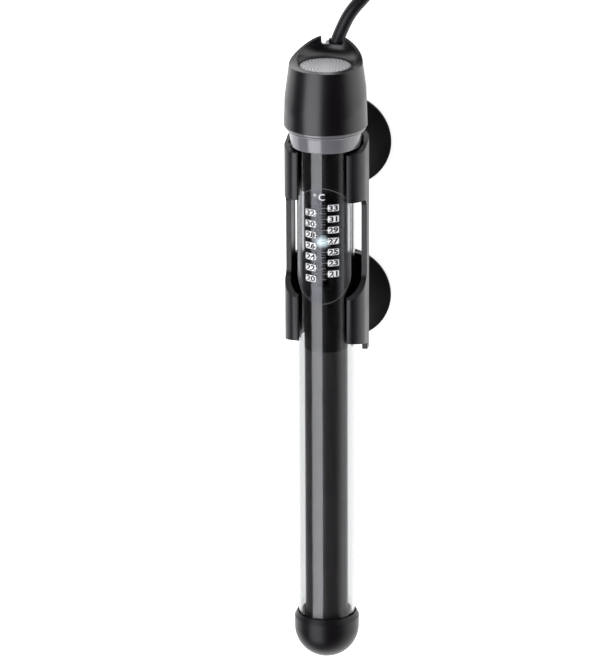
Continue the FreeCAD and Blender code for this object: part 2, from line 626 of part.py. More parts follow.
def holder_frame():
    low = HOLDER_END - HOLDER_SKIRT
    body = extruded(holder_section(), V(0, 0, -low))
    body.translate(V(0, 0, low))
    h = HOLDER_HALF + 2
    # slanted top edge
    top = extruded([V(-h, -h, TOP_CUT_Z - TOP_CUT_SLOPE * (h - 3)),
                    V(-h, h, TOP_CUT_Z + TOP_CUT_SLOPE * (h + 3 - 6)),
                    V(-h, h, 5), V(-h, -h, 5),
                    V(-h, -h, TOP_CUT_Z - TOP_CUT_SLOPE * (h - 3))], V(2 * h, 0, 0))
    body = body.cut(top)
    # room for the collar's band
    body = body.cut(rod(BAND_TOP_R + 0.6, -COLLAR_DROP - 0.6, 2))
    # slanted lower edge; only the rear of the lower clip reaches right down
    lip_y = -9.0
    front_z = HOLDER_END - END_SLOPE * (-h - lip_y)
    rear_z = HOLDER_END - END_SLOPE * (SKIRT_FRONT - lip_y)
    below = extruded([V(-h, -h, front_z), V(-h, SKIRT_FRONT, rear_z), V(-h, SKIRT_FRONT, low - 1),
                      V(-h, -h, low - 1), V(-h, -h, front_z)], V(2 * h, 0, 0))
    body = body.cut(below)
    # on the left the slanted edge runs right to the back
    body = body.cut(block(-h, 0, SKIRT_FRONT, h, low - 1, rear_z))
    # front window: rounded under the upper clip, with a long S down to the lower lips
    r = WINDOW_CORNER
    y, z = -RAIL_FRONT, LOWER_CLIP_SIDE
    for side in (-1, 1):
        window = extruded([
            V(0, y, z), (V(0, y - 0.6, z - 2.6), V(0, y - 2.4, z - 4.7)),
            V(0, y - 7.0, z - 8.8), (V(0, y - 8.7, z - 10.3), V(0, y - 10.2, LOWER_CLIP_LIP)),
            V(0, -h, LOWER_CLIP_LIP), V(0, -h, UPPER_CLIP_END), V(0, y - r, UPPER_CLIP_END),
            (V(0, y - r * 0.3, UPPER_CLIP_END - r * 0.3), V(0, y, UPPER_CLIP_END - r)),
            V(0, y, z)], V(side * h, 0, 0))
        body = body.cut(window)
    # rear window between the two back plates
    body = body.cut(block(-h, h, -RAIL_BACK, h, BACK_WINDOW_END, BACK_WINDOW_TOP))
    # bosses that hold the cups' knobs
    for z in CUP_Z:
        y = HOLDER_BACK
        boss = Part.makeCylinder(BOSS_R, BOSS_REACH + 0.5, V(0, y - 0.5, z), BACK)
        body = body.fuse(boss)
        body = body.cut(Part.makeCylinder(NECK_R + RUN, BOSS_REACH + 6, V(0, y - 3, z), BACK))
        body = body.cut(Part.makeCylinder(KNOB_R + GAP, BOSS_REACH - 2.2 + HOLDER_WALL + 1,
                                          V(0, y - HOLDER_WALL - 1, z), BACK))
    return body.removeSplitter()


def suction_cup(z):
    """Rubber cup turned about its own axis; t is the distance from the wall."""
    boss_face = AXIS_HEIGHT - HOLDER_BACK - BOSS_REACH
    plate = 2.2                       # the boss's end plate, between shoulder and knob
    knob = boss_face + plate + GAP
    land = CUP_R - CUP_LAND
    cup = turned([
        V(land, 0, 0), V(CUP_R, 0, 0), V(CUP_R, 0, CUP_RIM_T),
        (V(15.6, 0, 5.0), V(9.6, 0, 9.6)), (V(7.2, 0, 12.6), V(6.4, 0, 16.0)),
        V(6.4, 0, boss_face - GAP), V(NECK_R, 0, boss_face - GAP), V(NECK_R, 0, knob),
        V(KNOB_R, 0, knob), V(KNOB_R - 0.6, 0, knob + KNOB_T), V(0, 0, knob + KNOB_T),
        V(0, 0, CUP_HOLLOW), (V(land * 0.55, 0, CUP_HOLLOW * 0.76), V(land, 0, 0))])
    cup.rotate(V(0, 0, 0), V(1, 0, 0), 90)
    cup.translate(V(0, AXIS_HEIGHT, z))
    return cup


def rubber_foot():
    inner = TUBE_R + FOOT_GAP
    c = math.sqrt(0.5)
    end = ROUND_END_Z
    return turned([
        V(0, 0, end - FOOT_R), (V(FOOT_R * c, 0, end - FOOT_R * c), V(FOOT_R, 0, end)),
        V(FOOT_R, 0, FOOT_TOP - FOOT_CHAMFER), V(inner + 0.35, 0, FOOT_TOP),
        V(inner, 0, FOOT_TOP - 0.3), V(inner, 0, end),
        (V(inner * c, 0, end - inner * c), V(0, 0, end - inner)), V(0, 0, end - FOOT_R)])


# ---------------------------------------------------------------- cord
def cord_tube(name, points):
    """Straight runs joined by tangent arcs, each as large as its two runs allow."""
    edges = []
    at = points[0]
    radii = []
    for i in range(1, len(points) - 1):
        a = points[i - 1] - points[i]
        b = points[i + 1] - points[i]
        shorter = min(a.Length, b.Length)
        a.normalize()
        b.normalize()
        half = a.getAngle(b) / 2
        cut = 0.45 * shorter
        r = cut * math.tan(half)
        radii.append(r)
        start, stop = points[i] + a * cut, points[i] + b * cut
        centre = points[i] + (a + b).normalize() * (r / math.sin(half))
        middle = centre + (points[i] - centre).normalize() * r
        edges += [Part.LineSegment(at, start).toShape(), Part.Arc(start, middle, stop).toShape()]
        at = stop
    edges.append(Part.LineSegment(at, points[-1]).toShape())
    path = Part.Wire(edges)
    length = path.Length
    section = Part.Wire(Part.makeCircle(CORD_R, points[0], (points[1] - points[0]).normalize()))
    tube = path.makePipeShell([section], True, False)
    wanted = math.pi * CORD_R ** 2 * length
    print(name, "length %.1f mm, volume off by %.2f%%, radii" % (
        length, 100 * (tube.Volume / wanted - 1)), ["%.0f" % r for r in radii])
    return tube


def cord_hank():
    """Outer shape of the tied hank: two end loops drawn together at the waist."""
    mid = HANK_NEAR + HANK_RUN / 2
    out = FOLD_R + CORD_R
    waist = WAIST_HALF + CORD_R
    # S-bend from an end loop's tangent point to the waist, both arcs of one radius
    drop = out - waist
    r = BEND_R
    across = math.sqrt(r * drop - drop ** 2 / 4) * 2
    turn = math.acos(1 - drop / (2 * r)) / 2
    points = [V(waist, mid, 0)]
    y0 = HANK_NEAR + HANK_RUN
    first = y0 - across

    def bend(sign_x, near):
        """Points of one S-bend from the waist out to the loop, mirrored as asked."""
        base, way = (first, 1) if not near else (2 * mid - first, -1)
        return [
            V(sign_x * waist, base, 0),
            (V(sign_x * (waist + r * (1 - math.cos(turn))), base + way * r * math.sin(turn), 0),
             V(sign_x * (waist + drop / 2), base + way * across / 2, 0)),
            (V(sign_x * (out - r * (1 - math.cos(turn))),
               base + way * (across - r * math.sin(turn)), 0),
             V(sign_x * out, base + way * across, 0))]

    def reverse(items):
        ends = [i[-1] if isinstance(i, tuple) else i for i in items]
        back = [ends[-1]]
        for k in range(len(items) - 1, 0, -1):
            back.append((items[k][0], ends[k - 1]) if isinstance(items[k], tuple)
                        else ends[k - 1])
        return back

    points += bend(1, False)
    points.append((V(0, y0 + out, 0), V(-out, y0, 0)))
    points += reverse(bend(-1, False))[1:]
    points += bend(-1, True)
    points.append((V(0, HANK_NEAR - out, 0), V(out, HANK_NEAR, 0)))
    points += reverse(bend(1, True))[1:]
    points.append(V(waist, mid, 0))
    solid = extruded(points, V(0, 0, HANK_H))
    eye = FOLD_R - CORD_R - 0.6
    for y in (HANK_NEAR, y0):
        solid = solid.cut(rod(eye, -1, HANK_H + 1, 0, y))
    return solid


def cord_tie():
    """Flat band round the hank's waist; its lower run lies just above the floor."""
    mid = HANK_NEAR + HANK_RUN / 2
    x = WAIST_HALF + CORD_R + TIE_GAP
    outer = block(-x - TIE_T, x + TIE_T, mid - TIE_W / 2, mid + TIE_W / 2,
                  0.0, HANK_H + TIE_GAP + TIE_T)
    inner = block(-x, x, mid - TIE_W, mid + TIE_W, -1.0, HANK_H + TIE_GAP)
    return outer.cut(inner)


def plug_body():
    """Flat two-pin plug: a slab with rounded narrow sides that tapers to the cord."""
    y0 = PLUG_END_Y + PIN_LENGTH
    y1 = y0 + PLUG_L
    t, w = PLUG_T / 2, PLUG_W / 2 - PLUG_T / 2

    def section(y, width, thick):
        return Part.Wire([
            Part.LineSegment(V(-width, y, -thick), V(width, y, -thick)).toShape(),
            Part.Arc(V(width, y, -thick), V(width + thick, y, 0), V(width, y, thick)).toShape(),
            Part.LineSegment(V(width, y, thick), V(-width, y, thick)).toShape(),
            Part.Arc(V(-width, y, thick), V(-width - thick, y, 0),
                     V(-width, y, -thick)).toShape()])
    body = Part.makeLoft([section(y0, w, t), section(y0 + PLUG_L * 0.55, w - 1.0, t)], True, True)
    nose = Part.makeLoft([section(y0 + PLUG_L * 0.55, w - 1.0, t), section(y1, 1.2, t - 1.4)],
                         True, True)
    body = body.fuse(nose)
    body.translate(V(PLUG_X, 0, PLUG_T / 2))
    return body


def plug_relief():
    y1 = PLUG_END_Y + PIN_LENGTH + PLUG_L
    return Part.makeCone(RELIEF_R, CORD_R + 0.5, RELIEF_L, V(PLUG_X, y1, PLUG_T / 2), BACK)


def plug_pin(side):
    at = V(PLUG_X + side * PIN_SPACING / 2, PLUG_END_Y, PLUG_T / 2)
    pin = Part.makeCylinder(PLUG_PIN_R, PIN_LENGTH, at, BACK)
    tip = [e for e in pin.Edges if abs(e.BoundBox.YMax - PLUG_END_Y) < 1e-6]
    return pin.makeChamfer(0.5, tip[:1])


os.makedirs("parts", exist_ok=True)
save("head_shell", head_shell())
save("cord_gland", cord_gland())
save("collar_ring", collar_ring())
save("tube_seal", tube_seal())
save("glass_tube", glass_tube())
save("scale_label", scale_label(), in_tube=True)
save("seal_plug", seal_plug(), in_tube=True)
save("dial_knob", dial_knob())
save("dial_face", dial_face())
save("dial_shaft", dial_shaft())
save("shaft_seal", shaft_seal())
save("cam_drum", cam_drum(), in_tube=True)
save("pointer_carriage", pointer_carriage(), in_tube=True)
save("pointer_led", pointer_led(), in_tube=True)
save("guide_rod_left", guide_rod(-1), in_tube=True)
save("guide_rod_right", guide_rod(1), in_tube=True)
save("rod_bridge", rod_bridge(), in_tube=True)
save("setting_potentiometer", setting_potentiometer(), in_tube=True)
save("thermostat_housing", thermostat_housing(), in_tube=True)
save("circuit_board", circuit_board(), in_tube=True)
save("triac", on_board(-4.6, 0.3, 4.4, -101.0, -90.5), in_tube=True)
save("smoothing_capacitor", rod(2.2, -101.0, -90.5, 2.8, -BOARD_FRONT - 2.2), in_tube=True)
save("control_chip", on_board(-2.5, 2.5, 1.5, -24.0, -17.0), in_tube=True)
save("thermistor", thermistor(), in_tube=True)
save("mains_wire_live", mains_wire(-1))
save("mains_wire_neutral", mains_wire(1))
save("heater_lead_live", heater_lead(-1), in_tube=True)
save("heater_lead_neutral", heater_lead(1), in_tube=True)
save("core_sleeve", core_sleeve())
save("core_top_disc", core_top_disc(), in_tube=True)
save("thermal_fuse", rod(FUSE_R, COIL_TOP - FUSE_L, COIL_TOP))
save("ceramic_former", ceramic_former(), in_tube=True)
save("heating_coil", heating_coil(), in_tube=True)
save("core_end_disc", core_disc(CORE_END))
save("end_cushion", end_cushion())
save("holder_frame", holder_frame())
save("suction_cup_upper", suction_cup(CUP_Z[0]))
save("suction_cup_lower", suction_cup(CUP_Z[1]))
save("rubber_foot", rubber_foot())
save("cord_lead", cord_tube("cord_lead", LEAD_POINTS), standing=False)
save("cord_hank", cord_hank(), standing=False)
save("cord_tail", cord_tube("cord_tail", TAIL_POINTS), standing=False)
save("cord_tie", cord_tie(), standing=False)
save("plug_body", plug_body(), standing=False)
save("plug_relief", plug_relief(), standing=False)
save("plug_pin_left", plug_pin(-1), standing=False)
save("plug_pin_right", plug_pin(1), standing=False)
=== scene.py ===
"""Submersible aquarium heater lying on its two suction cups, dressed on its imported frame.

+Y runs along the tube towards the head, +Z is up, away from the cups. Metres throughout;
the sizes below are written in millimetres and multiplied by MM where they are used.
"""

import bmesh
import bpy
import numpy as np
from mathutils import Matrix, Vector


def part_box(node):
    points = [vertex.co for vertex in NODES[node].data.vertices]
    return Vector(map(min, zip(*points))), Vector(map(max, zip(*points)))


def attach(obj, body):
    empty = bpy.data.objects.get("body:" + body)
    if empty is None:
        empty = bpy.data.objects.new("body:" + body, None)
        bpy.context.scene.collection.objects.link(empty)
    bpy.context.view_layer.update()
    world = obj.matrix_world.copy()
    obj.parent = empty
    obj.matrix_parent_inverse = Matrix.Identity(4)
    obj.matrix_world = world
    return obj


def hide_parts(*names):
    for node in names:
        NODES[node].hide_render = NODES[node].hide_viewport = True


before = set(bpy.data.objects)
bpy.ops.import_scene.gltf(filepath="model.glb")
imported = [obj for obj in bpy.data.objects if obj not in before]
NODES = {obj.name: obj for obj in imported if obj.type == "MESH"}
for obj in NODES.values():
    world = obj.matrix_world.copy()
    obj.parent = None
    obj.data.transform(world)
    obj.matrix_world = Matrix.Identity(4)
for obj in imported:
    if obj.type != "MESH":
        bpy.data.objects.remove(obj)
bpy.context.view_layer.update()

MM = 0.001

GLASS_R, BORE_R = 13.5, 12.2     # outside and inside of the tube
GLASS_TOP = 8.0                  # the tube stands this far inside the head

# The heater's own places, read from the frame.
glass_low, glass_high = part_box("glass_tube")
AXIS_Z = (glass_low.z + glass_high.z) / 2
HEAD_Y = glass_high.y - GLASS_TOP * MM          # the head's lower edge
carriage_low, carriage_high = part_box("pointer_carriage")
LAMP_Z = ((carriage_low.y + carriage_high.y) / 2 - HEAD_Y) / MM   # along the tube, from there


# ------------------------------------------------------------------ meshes from formulas
def grid_mesh(name, points, closed_u=False, closed_v=False, smooth=True):
    """Mesh over an array of points[u, v, xyz]; quads join neighbours, wrapping where closed."""
    nu, nv = points.shape[:2]
    u = np.arange(nu if closed_u else nu - 1)
    v = np.arange(nv if closed_v else nv - 1)
    uu, vv = np.meshgrid(u, v, indexing="ij")
    u1, v1 = (uu + 1) % nu, (vv + 1) % nv
    faces = np.stack([uu * nv + vv, u1 * nv + vv, u1 * nv + v1, uu * nv + v1], -1).reshape(-1, 4)
    mesh = bpy.data.meshes.new(name)
    mesh.from_pydata(points.reshape(-1, 3).tolist(), [], faces.tolist())
    if smooth:
        mesh.polygons.foreach_set("use_smooth", np.ones(len(mesh.polygons), bool))
    mesh.update()
    piece = bpy.data.objects.new(name, mesh)
    bpy.context.scene.collection.objects.link(piece)
    return piece


def outward(piece):
    """Merges doubled points and turns every face outwards."""
    shell = bmesh.new()
    shell.from_mesh(piece.data)
    bmesh.ops.remove_doubles(shell, verts=shell.verts, dist=1e-7)
    bmesh.ops.recalc_face_normals(shell, faces=shell.faces)
    shell.to_mesh(piece.data)
    shell.free()
    return piece


def turned_profile(name, profile, turns):
    """Surface of revolution about the tube's axis.

    Point(t, a) = (r(t) sin a, z(t), r(t) cos a): r and z run along the profile, a goes once
    round. A profile that ends on the axis closes there."""
    a = np.linspace(0, 2 * np.pi, turns, endpoint=False)
    r, z = profile[:, 0], profile[:, 1]
    x = r[:, None] * np.sin(a)
    front = r[:, None] * np.cos(a)
    y = np.broadcast_to(z[:, None], x.shape)
    points = np.stack([x * MM, HEAD_Y + y * MM, AXIS_Z + front * MM], -1)
    return outward(grid_mesh(name, points, closed_v=True))


def rounded(corners, radius, steps=6):
    """Polyline (r, z) with its inner corners rounded: quadratic arcs of the given reach."""
    corners = np.asarray(corners, float)
    out = [corners[:1]]
    t = np.linspace(0, 1, steps)[:, None]
    for i in range(1, len(corners) - 1):
        a, b, c = corners[i - 1:i + 2]
        ra = min(radius, 0.45 * np.linalg.norm(a - b))
        rc = min(radius, 0.45 * np.linalg.norm(c - b))
        p = b + (a - b) / np.linalg.norm(a - b) * ra
        q = b + (c - b) / np.linalg.norm(c - b) * rc
        out.append((1 - t) ** 2 * p + 2 * t * (1 - t) * b + t ** 2 * q)
    out.append(corners[-1:])
    return np.concatenate(out)


# ------------------------------------------------------------------ materials
def new_node(tree, kind, **settings):
    """New shader node in a tree, with its settings."""
    made = tree.nodes.new("ShaderNode" + kind)
    for title, value in settings.items():
        setattr(made, title, value)
    return made


def fill(tree, socket, value):
    """Gives an input a value, or links another node's output to it."""
    if isinstance(value, bpy.types.NodeSocket):
        tree.links.new(value, socket)
    else:
        socket.default_value = value


def feed(tree, into, **values):
    """Fills a node's inputs by their titles, written with _ for a space."""
    for title, value in values.items():
        fill(tree, into.inputs[title.replace("_", " ")], value)


def calc(tree, operation, *given):
    """Math node on numbers or sockets."""
    math = new_node(tree, "Math", operation=operation)
    for socket, value in zip(math.inputs, given):
        fill(tree, socket, value)
    return math.outputs[0]


def spread(tree, value, span, to, kind="LINEAR"):
    """A value mapped from its own span to another one, and kept inside it."""
    ramp = new_node(tree, "MapRange", interpolation_type=kind)
    feed(tree, ramp, Value=value, From_Min=span[0], From_Max=span[1], To_Min=to[0], To_Max=to[1])
    return ramp.outputs["Result"]


def object_place(tree):
    """Place in the object's own coordinates."""
    return new_node(tree, "TexCoord").outputs["Object"]


def components(tree, place):
    """X, Y and Z of a place."""
    split = new_node(tree, "SeparateXYZ")
    tree.links.new(place, split.inputs[0])
    return split.outputs


def noise(tree, place, scale, detail=2.0):
    """Noise from 0 to 1."""
    texture = new_node(tree, "TexNoise")
    feed(tree, texture, Vector=place, Scale=scale, Detail=detail)
    return texture.outputs["Fac"]


def scaled(tree, color, share):
    """A colour times a share."""
    product = new_node(tree, "VectorMath", operation="SCALE")
    feed(tree, product, Vector=color, Scale=share)
    return product.outputs[0]


def bumped(tree, shader, height, strength, distance, normal=None):
    """Gives a shader the relief of a height, distance mm high, on top of a normal."""
    relief = new_node(tree, "Bump")
    feed(tree, relief, Height=height, Strength=strength, Distance=distance * MM)
    if normal is not None:
        feed(tree, relief, Normal=normal)
    feed(tree, shader, Normal=relief.outputs["Normal"])


def principled(material):
    """The shader of a material."""
    return next(n for n in material.node_tree.nodes if n.type == "BSDF_PRINCIPLED")


def new_material(name):
    """Principled material with its node tree, ready for textures."""
    material = bpy.data.materials.new(name)
    material.use_nodes = True
    return material, material.node_tree, principled(material)


def emission(tree, color=(1, 1, 1), strength=1.0):
    """Light given off by a surface; its strength may come from a socket."""
    glow = new_node(tree, "Emission")
    feed(tree, glow, Color=(*color, 1), Strength=strength)
    return glow.outputs[0]


def mixed(tree, share, first, second):
    """Two shaders mixed: none of the second at 0, all of it at 1."""
    mix = new_node(tree, "MixShader")
    for socket, value in zip(mix.inputs, (share, first, second)):
        tree.links.new(value, socket)
    return mix.outputs[0]


def bare_material(name):
    """Material with nothing but its output node."""
    material = bpy.data.materials.new(name)
    material.use_nodes = True
    material.node_tree.nodes.clear()
    return material, material.node_tree, new_node(material.node_tree, "OutputMaterial")


def surface_group():
    """Node group: fine moulded grain with faint wear.

    Takes a colour, the grain's scale in 1/m, a roughness and by how much they vary; gives a
    colour and a roughness that vary a little, and a bump height."""
    group = bpy.data.node_groups.new("moulded surface", "ShaderNodeTree")
    face = group.interface
    for title, kind, value in (("Color", "NodeSocketColor", (0.5, 0.5, 0.5, 1)),
                               ("Scale", "NodeSocketFloat", 900.0),
                               ("Roughness", "NodeSocketFloat", 0.4),
                               ("Vary", "NodeSocketFloat", 0.1)):
        socket = face.new_socket(title, in_out="INPUT", socket_type=kind)
        socket.default_value = value
    for title, kind in (("Color", "NodeSocketColor"), ("Roughness", "NodeSocketFloat"),
                        ("Height", "NodeSocketFloat")):
        face.new_socket(title, in_out="OUTPUT", socket_type=kind)
    given = group.nodes.new("NodeGroupInput").outputs
    made = group.nodes.new("NodeGroupOutput")
    place = object_place(group)
    vary = given["Vary"]
    share = spread(group, noise(group, place, 45.0, 4.0), (0.3, 0.7),
                   (calc(group, "SUBTRACT", 1.0, vary), calc(group, "ADD", 1.0, vary)))
    feed(group, made, Color=scaled(group, given["Color"], share),
         Roughness=calc(group, "MULTIPLY", given["Roughness"], share),
         Height=noise(group, place, given["Scale"], 3.0))
    return group


MOULDED = surface_group()


def moulded(name, color, roughness, scale=900.0, depth=0.02, vary=0.1, specular=0.5, coat=0.0,
            edge=0.0):
    """Moulded or rubbery surface: the grain group into colour, roughness and a bump.

    edge is the radius in mm to which the part's sharp edges are softened."""
    material, tree, shader = new_material(name)
    grain = new_node(tree, "Group", node_tree=MOULDED)
    feed(tree, grain, Color=(*color, 1), Roughness=roughness, Scale=scale, Vary=vary)
    feed(tree, shader, Base_Color=grain.outputs["Color"], Roughness=grain.outputs["Roughness"],
         Specular_IOR_Level=specular, Coat_Weight=coat, Coat_Roughness=0.08)
    soft = None
    if edge:
        bevel = new_node(tree, "Bevel", samples=4)
        feed(tree, bevel, Radius=edge * MM)
        soft = bevel.outputs["Normal"]
    bumped(tree, shader, grain.outputs["Height"], 0.4, depth, soft)
    return material


def clear(name, color, roughness=0.0, ior=1.47, dusty=0.03, fineness=260.0):
    """Clear glass or film; a fine noise adds up to dusty to its roughness."""
    material, tree, shader = new_material(name)
    dust = noise(tree, object_place(tree), fineness)
    feed(tree, shader, Base_Color=(*color, 1), Transmission_Weight=1.0, IOR=ior,
         Roughness=spread(tree, dust, (0.45, 0.8), (roughness, roughness + dusty)))
    return material


def brushed(name, color, roughness, scale=(2500.0, 60.0, 2500.0)):
    """Metal with drawn streaks: noise stretched along one axis into roughness and bump."""
    material, tree, shader = new_material(name)
    stretch = new_node(tree, "Mapping")
    feed(tree, stretch, Vector=object_place(tree), Scale=scale)
    streak = noise(tree, stretch.outputs["Vector"], 1.0, 3.0)
    feed(tree, shader, Base_Color=(*color, 1), Metallic=1.0,
         Roughness=spread(tree, streak, (0.0, 1.0), (roughness * 0.75, roughness * 1.25)))
    bumped(tree, shader, streak, 0.2, 0.01)
    return material


def sleeved(name, color, roughness, border_y):
    """Drawn metal of a pin that carries a black insulating sleeve beyond border_y."""
    material = brushed(name, color, roughness)
    tree = material.node_tree
    sleeve = calc(tree, "GREATER_THAN", components(tree, object_place(tree))["Y"], border_y)
    tint = new_node(tree, "Mix", data_type="RGBA")
    tree.links.new(sleeve, tint.inputs[0])
    tint.inputs[6].default_value = (*color, 1)
    tint.inputs[7].default_value = (0.012, 0.012, 0.013, 1)
    feed(tree, principled(material), Base_Color=tint.outputs[2],
         Metallic=calc(tree, "SUBTRACT", 1.0, sleeve))
    return material


RING_PITCH = 2.3         # from one raised dot of the dial insert to the next one outwards
SPOKES = 26.0            # raised dots in a ring
PLAIN_R = 4.5            # radius of the insert's plain middle


def knurled(name, color):
    """Bright insert with rings of fine raised dots round a plain middle; its metal sheen is painted
    as a near-white diffuse colour.

    The height is sin(ring) * sin(spoke) in polar coordinates about the tube's axis. The same height
    also paints shade into the colour: darker between the dots, lighter on them."""
    material, tree, shader = new_material(name)
    place = components(tree, object_place(tree))
    across, up = place["X"], calc(tree, "SUBTRACT", place["Z"], AXIS_Z)
    radius = calc(tree, "SQRT", calc(tree, "ADD", calc(tree, "MULTIPLY", across, across),
                                     calc(tree, "MULTIPLY", up, up)))
    turn = calc(tree, "ARCTAN2", across, up)
    ring = calc(tree, "SINE", calc(tree, "MULTIPLY", radius, 2 * np.pi / (RING_PITCH * MM)))
    spoke = calc(tree, "SINE", calc(tree, "MULTIPLY", turn, SPOKES))
    outside = calc(tree, "GREATER_THAN", radius, PLAIN_R * MM)
    dots = calc(tree, "MULTIPLY", calc(tree, "MULTIPLY", ring, spoke), outside)
    # painted shade and highlight: the dots' height darkens the colour between the dots and lightens
    # it on them
    shade = spread(tree, dots, (-0.6, 0.6), (0.38, 1.0))
    # metallic 0 with a near-white colour: the insert's metal sheen is painted into its diffuse
    # colour
    feed(tree, shader, Base_Color=scaled(tree, color, shade), Metallic=0.0, Roughness=0.42)
    bumped(tree, shader, dots, 0.25, 0.05, new_node(tree, "NewGeometry").outputs["True Normal"])
    return material


def lit(name, color, glow, strength):
    """Lamp lens that is switched on."""
    material = moulded(name, color, 0.15, 1500.0, 0.0, 0.02, coat=0.6)
    feed(material.node_tree, principled(material), Emission_Color=(*glow, 1),
         Emission_Strength=strength)
    return material


LED_LENS = lit("lit lens", (0.10, 0.14, 0.14), (0.66, 0.95, 1.0), 0.22)
# silver dial insert: its sheen is painted as a near-white colour, and its dots are shaded in the
# colour
DIAL_PAINTED_SHEEN = knurled("knurled dial insert", (0.97, 0.96, 0.99))
HEAD_PLASTIC = moulded("black head plastic", (0.0038, 0.0023, 0.0038), 0.30, 1500.0, 0.012, 0.10,
                       0.66, edge=0.35)
COLLAR_PLASTIC = moulded("grey collar plastic", (0.15, 0.145, 0.16), 0.2, 1500.0, 0.008, 0.05,
                         1.0, coat=0.4)
HOLDER_PLASTIC = moulded("black holder plastic", (0.0075, 0.0058, 0.0082), 0.36, 1500.0, 0.01,
                         0.12, 0.5, edge=0.4)
CUP_RUBBER = moulded("cup rubber", (0.0090, 0.0068, 0.0068), 0.45, 1200.0, 0.01, 0.15, 0.4,
                     edge=0.3)
FOOT_RUBBER = moulded("foot rubber", (0.0050, 0.0036, 0.0050), 0.34, 1200.0, 0.01, 0.15, 0.3,
                      edge=0.25)
CORD_RUBBER = moulded("cord sheath", (0.0075, 0.0058, 0.0078), 0.42, 1000.0, 0.012, 0.12, 0.4)
GLAND_RUBBER = moulded("gland rubber", (0.004, 0.003, 0.004), 0.8, 1000.0, 0.012, 0.12, 0.12)
PLUG_RUBBER = moulded("plug rubber", (0.0085, 0.0075, 0.0085), 0.5, 900.0, 0.02, 0.12, 0.45,
                      edge=0.5)
SEAL_RUBBER = moulded("grey silicone", (0.28, 0.28, 0.30), 0.5, 900.0, 0.02)
DIAL_PLASTIC = moulded("pale dial plastic", (0.42, 0.41, 0.43), 0.35, 1500.0, 0.008, 0.04)
WHITE_PLASTIC = moulded("white working plastic", (0.68, 0.68, 0.65), 0.45, 1200.0, 0.02, 0.05)
CORE_COAT = moulded("brown grey core coating", (0.072, 0.064, 0.066), 0.34, 700.0, 0.02, 0.06)
HOUSING_PLASTIC = moulded("dark housing plastic", (0.010, 0.008, 0.009), 0.45, 900.0, 0.02)
PART_BLACK = moulded("black component", (0.02, 0.02, 0.022), 0.4, 1500.0, 0.01)
BOARD_GREEN = moulded("green board lacquer", (0.02, 0.15, 0.05), 0.3, 1500.0, 0.02, 0.2)
BROWN_WIRE = moulded("brown insulation", (0.11, 0.045, 0.018), 0.4, 900.0, 0.01)
BLUE_WIRE = moulded("blue insulation", (0.02, 0.08, 0.3), 0.4, 900.0, 0.01)
MICA = moulded("mica", (0.42, 0.36, 0.26), 0.45, 500.0, 0.02, 0.25)
CERAMIC = moulded("unglazed ceramic", (0.75, 0.72, 0.66), 0.7, 1500.0, 0.03, 0.06)
TIE_PLASTIC = moulded("twist tie", (0.02, 0.02, 0.022), 0.5, 1200.0, 0.02)
SLEEVE_LENGTH = 10.0 * MM
PIN_STEEL = sleeved("plated pin", (0.55, 0.54, 0.52), 0.28,
                    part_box("plug_body")[0].y - SLEEVE_LENGTH)
ROD_STEEL = brushed("drawn steel", (0.55, 0.55, 0.56), 0.25)
COIL_WIRE = brushed("resistance wire", (0.40, 0.37, 0.33), 0.35, (60.0, 2800.0, 60.0))
GLASS = clear("borosilicate glass", (0.885, 0.895, 0.90))
FILM = clear("scale film", (0.90, 0.91, 0.94), 0.12, 1.2, 0.12, 2600.0)
PRINT_WHITE = moulded("white print", (0.93, 0.93, 0.95), 0.5, 1500.0, 0.0, 0.02)
PRINT_GREY = moulded("grey print", (0.26, 0.26, 0.28), 0.5, 1500.0, 0.0, 0.02)
PRINT_DARK = moulded("dark print", (0.012, 0.012, 0.014), 0.5, 1500.0, 0.0, 0.02)

NODE_MATERIALS = {
    "cord_gland": GLAND_RUBBER,
    "collar_ring": COLLAR_PLASTIC,
    "tube_seal": SEAL_RUBBER,
    "glass_tube": GLASS,
    "scale_label": FILM,
    "seal_plug": SEAL_RUBBER,
    "dial_knob": DIAL_PLASTIC,
    "dial_face": DIAL_PAINTED_SHEEN,
    "dial_shaft": WHITE_PLASTIC,
    "shaft_seal": SEAL_RUBBER,
    "cam_drum": HOUSING_PLASTIC,
    "pointer_carriage": HOUSING_PLASTIC,
    "pointer_led": LED_LENS,
    "guide_rod_left": ROD_STEEL,
    "guide_rod_right": ROD_STEEL,
    "rod_bridge": WHITE_PLASTIC,
    "setting_potentiometer": PART_BLACK,
    "thermostat_housing": HOUSING_PLASTIC,
    "circuit_board": BOARD_GREEN,
    "triac": PART_BLACK,
    "smoothing_capacitor": PART_BLACK,
    "control_chip": PART_BLACK,
    "thermistor": PART_BLACK,
    "mains_wire_live": BROWN_WIRE,
    "mains_wire_neutral": BLUE_WIRE,
    "heater_lead_live": ROD_STEEL,
    "heater_lead_neutral": ROD_STEEL,
    "core_sleeve": CORE_COAT,
    "core_top_disc": MICA,
    "thermal_fuse": ROD_STEEL,
    "ceramic_former": CERAMIC,
    "heating_coil": COIL_WIRE,
    "core_end_disc": MICA,
    "end_cushion": SEAL_RUBBER,
    "head_shell": HEAD_PLASTIC,
    "holder_frame": HOLDER_PLASTIC,
    "suction_cup_upper": CUP_RUBBER,
    "suction_cup_lower": CUP_RUBBER,
    "rubber_foot": FOOT_RUBBER,
    "cord_lead": CORD_RUBBER,
    "cord_hank": CORD_RUBBER,
    "cord_tail": CORD_RUBBER,
    "cord_tie": TIE_PLASTIC,
    "plug_body": PLUG_RUBBER,
    "plug_relief": PLUG_RUBBER,
    "plug_pin_left": PIN_STEEL,
    "plug_pin_right": PIN_STEEL,
}


SHARP_ANGLE = np.radians(28.0)


